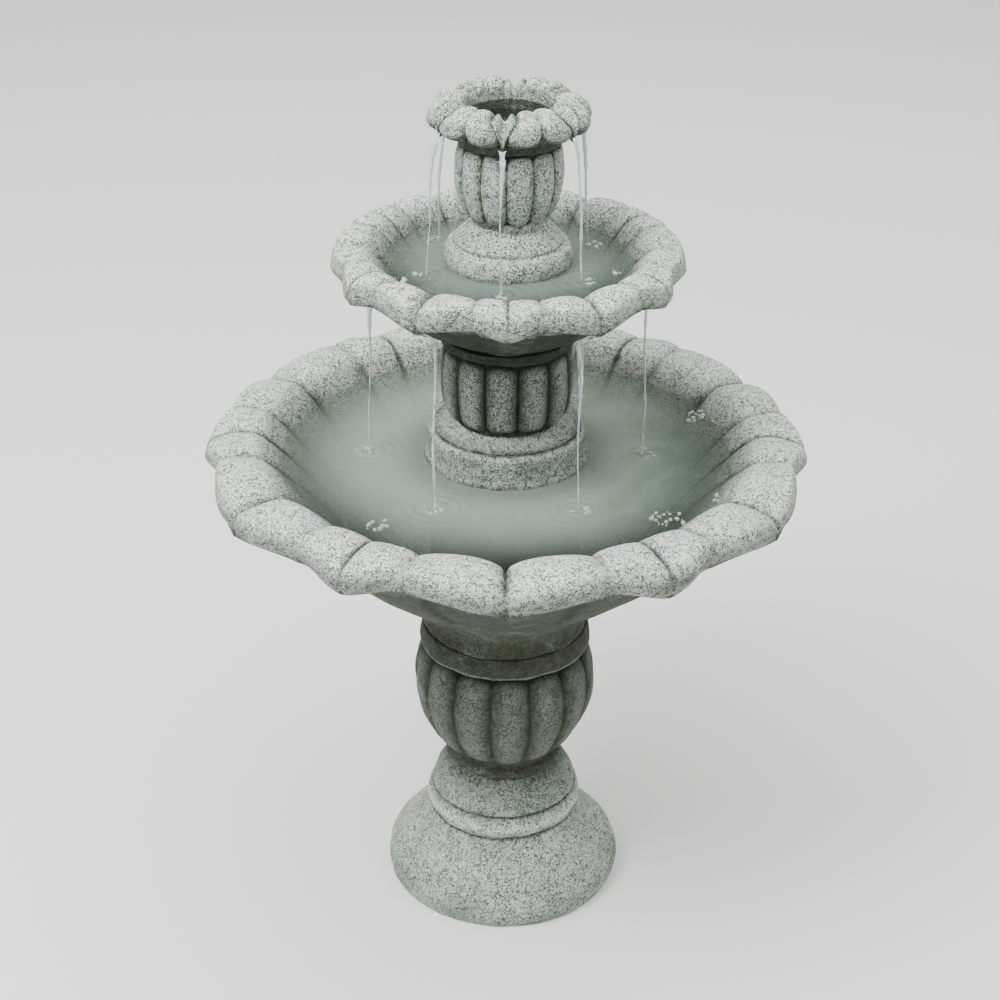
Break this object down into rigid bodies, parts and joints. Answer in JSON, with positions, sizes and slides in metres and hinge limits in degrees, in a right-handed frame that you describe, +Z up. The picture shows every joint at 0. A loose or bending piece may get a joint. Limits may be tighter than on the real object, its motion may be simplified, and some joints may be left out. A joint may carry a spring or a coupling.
{
  "type": "tiered water fountain",
  "caption": "Garden fountain of cast stone with scalloped bowls in tiers on a turned pedestal, a petal crown on top and a hidden recirculating pump.",
  "frame": {"origin": "centre of the foot's ring on the ground, on the axis of the stack", "axes": "+Z up along the axis of the stack, -Y towards the front, +X to the right seen from the front"},
  "size_m": [0.7, 0.7, 1.0131],
  "materials": {
    "cast_stone": "rough cast, pitted",
    "black_abs": "moulded",
    "white_acetal": "moulded",
    "epoxy": "poured",
    "lamination": "stamped sheets",
    "copper_wire": "enamelled wire",
    "ferrite": "sintered",
    "ceramic_shaft": "ground",
    "black_rubber": "moulded",
    "filter_foam": "open cell",
    "clear_pvc": "extruded",
    "steel_band": "rolled"
  },
  "bodies": {
    "basin": {"pedestal_foot": "cast_stone", "pedestal_vase": "cast_stone", "lower_bowl": "cast_stone", "cord_gland": "black_rubber", "pump_housing": "black_abs", "volute_cover": "black_abs", "stator_core": "lamination", "stator_coils": "copper_wire", "potting": "epoxy", "shaft_bush_rear": "black_rubber", "shaft_bush_front": "black_rubber", "o_ring": "black_rubber", "suction_feet": "black_rubber", "pump_cord_relief": "black_rubber", "outlet_nozzle": "black_abs", "supply_hose": "clear_pvc", "hose_clamp": "steel_band"},
    "column": {"column_base": "cast_stone", "column_vase": "cast_stone"},
    "middle_tier": {"middle_bowl": "cast_stone"},
    "top_tier": {"top_base": "cast_stone", "top_vase": "cast_stone", "crown": "cast_stone", "hose_grommet": "black_rubber"},
    "rotor": {"impeller": "white_acetal", "rotor_magnet": "ferrite", "rotor_shaft": "ceramic_shaft"},
    "strainer": {"strainer_cover": "black_abs", "filter_foam": "filter_foam"},
    "dial": {"flow_dial": "white_acetal"},
    "plug": {"drain_plug": "black_rubber"}
  },
  "joints": [
    {"name": "column_lift", "type": "slide", "parent": "basin", "child": "column", "axis": [0, 0, 1], "range_m": [0, 0.56]},
    {"name": "middle_bowl_lift", "type": "slide", "parent": "column", "child": "middle_tier", "axis": [0, 0, 1], "range_m": [0, 0.26]},
    {"name": "top_lift", "type": "slide", "parent": "middle_tier", "child": "top_tier", "axis": [0, 0, 1], "range_m": [0, 0.22]},
    {"name": "rotor_spin", "type": "hinge", "parent": "basin", "child": "rotor", "pos_m": [0, 0, 0.487], "axis": [0, 1, 0], "continuous": true},
    {"name": "strainer_pull", "type": "slide", "parent": "basin", "child": "strainer", "axis": [0, -1, 0], "range_m": [0, 0.026]},
    {"name": "dial_turn", "type": "hinge", "parent": "strainer", "child": "dial", "pos_m": [0, -0.034, 0.505], "axis": [0, -1, 0], "range_deg": [0, 120]},
    {"name": "plug_pull", "type": "slide", "parent": "basin", "child": "plug", "axis": [0, 0, 1], "range_m": [0, 0.05]}
  ]
}
